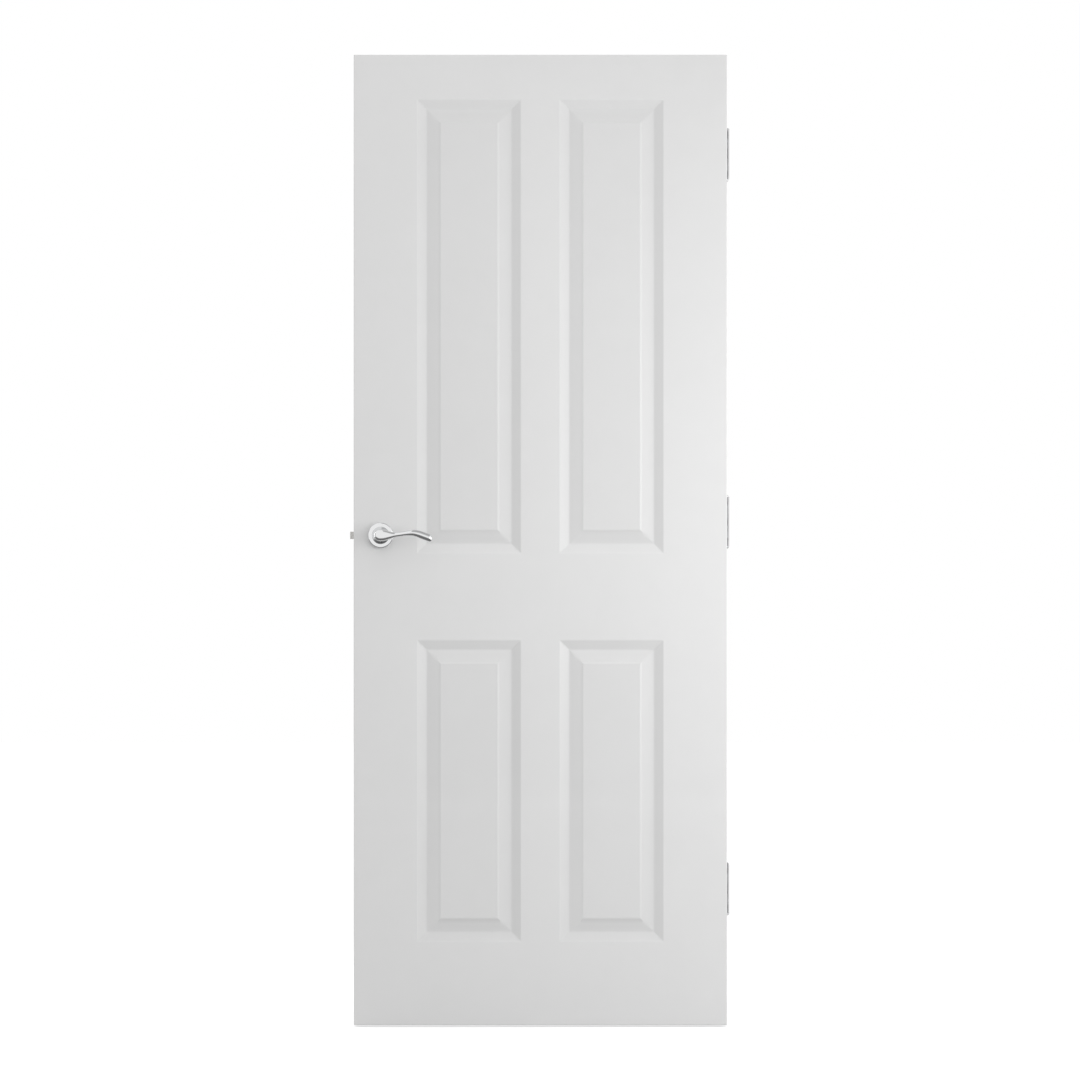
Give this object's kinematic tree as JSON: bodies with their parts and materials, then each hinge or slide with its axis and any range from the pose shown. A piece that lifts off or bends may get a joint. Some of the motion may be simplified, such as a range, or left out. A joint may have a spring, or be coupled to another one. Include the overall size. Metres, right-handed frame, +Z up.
{
  "type": "panelled door leaf",
  "caption": "White moulded four-panel door leaf with raised fields, chrome lever handles on round roses, a sprung latch and butt hinges that let it swing.",
  "frame": {"origin": "centre of the leaf's bottom edge, halfway through its thickness", "axes": "+X from the lock edge to the hinge edge, +Y from the front face to the rear face, +Z up"},
  "size_m": [0.7762, 0.1336, 1.981],
  "materials": {
    "painted_skin": "satin white paint on a pressed fibreboard skin",
    "painted_timber": "satin white paint on softwood edges",
    "bare_timber": "sawn softwood",
    "card": "brown card",
    "hinge_steel": "satin plated steel",
    "screw_steel": "bright zinc plate",
    "latch_steel": "nickel plated steel",
    "bolt_steel": "polished nickel plate",
    "inner_steel": "zinc plate",
    "spring_steel": "spring steel",
    "polished_chrome": "mirror polished chrome plate",
    "nylon": "white nylon"
  },
  "bodies": {
    "hinge_frame_side": {"top_hinge_frame_leaf": "hinge_steel", "middle_hinge_frame_leaf": "hinge_steel", "bottom_hinge_frame_leaf": "hinge_steel", "top_hinge_pin": "hinge_steel", "middle_hinge_pin": "hinge_steel", "bottom_hinge_pin": "hinge_steel"},
    "door": {"front_skin": "painted_skin", "rear_skin": "painted_skin", "lock_stile": "painted_timber", "hinge_stile": "painted_timber", "top_rail": "painted_timber", "bottom_rail": "painted_timber", "lock_block": "bare_timber", "honeycomb_core": "card", "top_hinge_door_leaf": "hinge_steel", "middle_hinge_door_leaf": "hinge_steel", "bottom_hinge_door_leaf": "hinge_steel", "hinge_screws": "screw_steel", "forend_screws": "screw_steel", "latch_case": "latch_steel", "latch_forend": "latch_steel", "rose_bolts": "inner_steel", "rose_bolt_sleeves": "inner_steel", "front_rose_base": "inner_steel", "rear_rose_base": "inner_steel", "latch_spring": "spring_steel", "front_rose_cover": "polished_chrome", "rear_rose_cover": "polished_chrome", "front_neck_bush": "nylon", "rear_neck_bush": "nylon"},
    "handle": {"front_lever": "polished_chrome", "rear_lever": "polished_chrome", "spindle": "inner_steel", "latch_follower": "latch_steel", "lever_grub_screws": "inner_steel", "front_lever_clip": "spring_steel", "rear_lever_clip": "spring_steel"},
    "latch": {"latch_bolt": "bolt_steel"}
  },
  "joints": [
    {"name": "door_swing", "type": "hinge", "parent": "hinge_frame_side", "child": "door", "pos_m": [0.3825, 0.0229, 0], "axis": [0, 0, -1], "range_deg": [0, 110]},
    {"name": "handle_turn", "type": "hinge", "parent": "door", "child": "handle", "pos_m": [-0.326, 0, 1], "axis": [0, 1, 0], "range_deg": [0, 50], "stiffness_Nm_per_rad": 1, "springref_deg": -25.78},
    {"name": "latch_slide", "type": "slide", "parent": "door", "child": "latch", "axis": [1, 0, 0], "range_m": [0, 0.00856], "deforming": ["latch_spring"]}
  ],
  "couplings": [
    {"joint": "latch_slide", "follows": "handle_turn", "m_per_rad": 0.009785}
  ]
}
